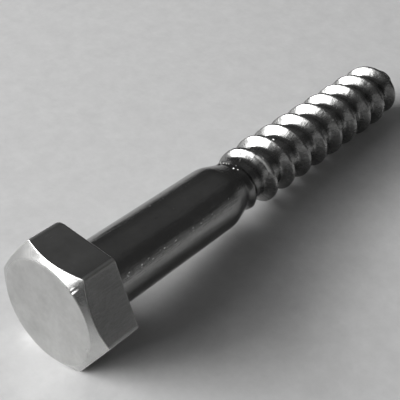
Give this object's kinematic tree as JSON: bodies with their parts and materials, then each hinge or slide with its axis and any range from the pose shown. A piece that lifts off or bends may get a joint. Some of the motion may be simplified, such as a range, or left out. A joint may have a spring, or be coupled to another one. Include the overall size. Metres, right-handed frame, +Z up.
{
  "type": "lag screw",
  "caption": "Hexagon-head lag screw: chamfered hex head, plain shank, neck and coarse right-handed wood thread running to a point, lying on its side.",
  "frame": {"origin": "on the floor under the middle of the screw's box, with the screw lying as it comes to rest", "axes": "+X from the head towards the point, along the floor; +Z up; +Y to the left when looking from the head to the point"},
  "size_m": [0.0664, 0.015, 0.0132],
  "materials": {
    "steel": "bright rolled and forged steel, satin, with fine rolling lines and small pits"
  },
  "bodies": {
    "root": {"lag_screw": "steel"}
  },
  "joints": []
}
